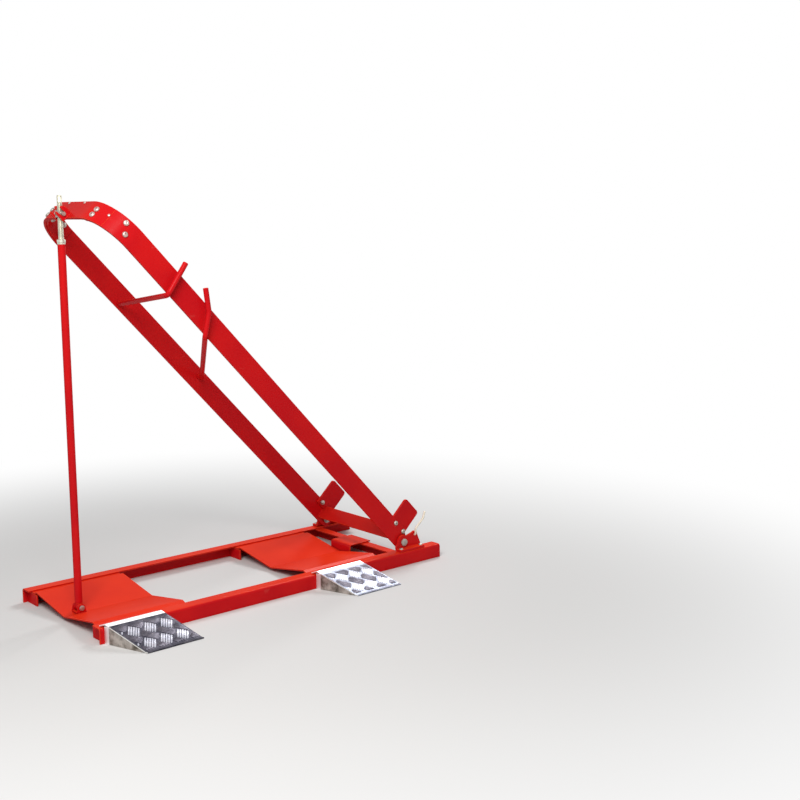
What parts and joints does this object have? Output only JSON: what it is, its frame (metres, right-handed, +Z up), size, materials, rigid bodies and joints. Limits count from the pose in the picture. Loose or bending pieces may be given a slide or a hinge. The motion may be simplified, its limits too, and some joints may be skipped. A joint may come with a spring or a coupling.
{
  "type": "lawn mower lift",
  "caption": "Side-tipping steel floor lift for a riding mower: low base with wheel cradles and tread-plate ramps, tilting strap loop with stop bars, and a screw-topped prop.",
  "frame": {"origin": "on the floor, under the middle of the whole part's bounding box with the loop raised", "axes": "+X along the rails towards the hinge end, +Y across the base away from the ramps, +Z up"},
  "size_m": [1.3, 0.655, 1.241],
  "materials": {
    "red_paint": "gloss red powder coat",
    "zinc_plate": "bright zinc plate with a slight yellow tint",
    "tread_plate": "bright mill finish with a raised tread pattern"
  },
  "bodies": {
    "base": {"near_rail": "red_paint", "far_rail": "red_paint", "left_cradle": "red_paint", "left_cradle_near_foot": "red_paint", "left_cradle_far_foot": "red_paint", "right_cradle": "red_paint", "right_cradle_near_foot": "red_paint", "right_cradle_far_foot": "red_paint", "left_ramp_deck": "tread_plate", "left_ramp_left_cheek": "tread_plate", "left_ramp_right_cheek": "tread_plate", "right_ramp_deck": "tread_plate", "right_ramp_left_cheek": "tread_plate", "right_ramp_right_cheek": "tread_plate", "hinge_cross_member": "red_paint", "centre_tie_plate": "red_paint", "near_hinge_bracket": "red_paint", "near_hinge_pin": "zinc_plate", "near_hinge_washer": "zinc_plate", "near_pin_collar": "zinc_plate", "far_hinge_bracket": "red_paint", "far_hinge_pin": "zinc_plate", "far_hinge_washer": "zinc_plate", "far_pin_collar": "zinc_plate", "prop_foot_bracket": "red_paint", "prop_foot_pin": "zinc_plate"},
    "loop": {"near_arm": "red_paint", "far_arm": "red_paint", "loop_end_bend": "red_paint", "near_splice_plate": "red_paint", "far_splice_plate": "red_paint", "near_splice_bolt_1": "zinc_plate", "near_splice_bolt_2": "zinc_plate", "near_splice_bolt_3": "zinc_plate", "near_splice_bolt_4": "zinc_plate", "far_splice_bolt_1": "zinc_plate", "far_splice_bolt_2": "zinc_plate", "far_splice_bolt_3": "zinc_plate", "far_splice_bolt_4": "zinc_plate", "lower_cross_strap": "red_paint", "near_end_post": "red_paint", "far_end_post": "red_paint", "near_post_bolt_1": "zinc_plate", "near_post_bolt_2": "zinc_plate", "far_post_bolt_1": "zinc_plate", "far_post_bolt_2": "zinc_plate", "near_fork_ear": "red_paint", "far_fork_ear": "red_paint"},
    "prop": {"prop_tube": "red_paint", "prop_foot_eye": "red_paint", "tube_top_bush": "zinc_plate", "trunnion_nut": "zinc_plate"},
    "screw": {"threaded_rod": "zinc_plate", "thrust_collar": "zinc_plate"},
    "upper_bar": {"upper_stop_bar": "red_paint"},
    "lower_bar": {"lower_stop_bar": "red_paint"},
    "hook": {"hold_down_hook": "zinc_plate"}
  },
  "joints": [
    {"name": "frame_tilt", "type": "hinge", "parent": "base", "child": "loop", "pos_m": [0.5048, 0.075, 0.073], "axis": [0, -1, 0], "range_deg": [0, 44.5]},
    {"name": "prop_swing", "type": "hinge", "parent": "base", "child": "prop", "pos_m": [-0.58663, 0.075, 0.03441], "axis": [0, -1, 0], "range_deg": [0, 85.5]},
    {"name": "screw_spin", "type": "hinge", "parent": "prop", "child": "screw", "pos_m": [-0.58663, 0.075, 1], "axis": [0, 0, 1], "continuous": true},
    {"name": "upper_stop_slide", "type": "slide", "parent": "loop", "child": "upper_bar", "axis": [-0.6871, 0, 0.7266], "range_m": [-0.03, 0.06]},
    {"name": "lower_stop_slide", "type": "slide", "parent": "loop", "child": "lower_bar", "axis": [-0.6871, 0, 0.7266], "range_m": [-0.12, 0.03]},
    {"name": "hook_swing", "type": "hinge", "parent": "base", "child": "hook", "pos_m": [0.5548, -0.155, 0.092], "axis": [0, 1, 0], "range_deg": [0, 85]}
  ],
  "couplings": [
    {"joint": "prop_swing", "follows": "frame_tilt", "ratio": 1.92}
  ]
}
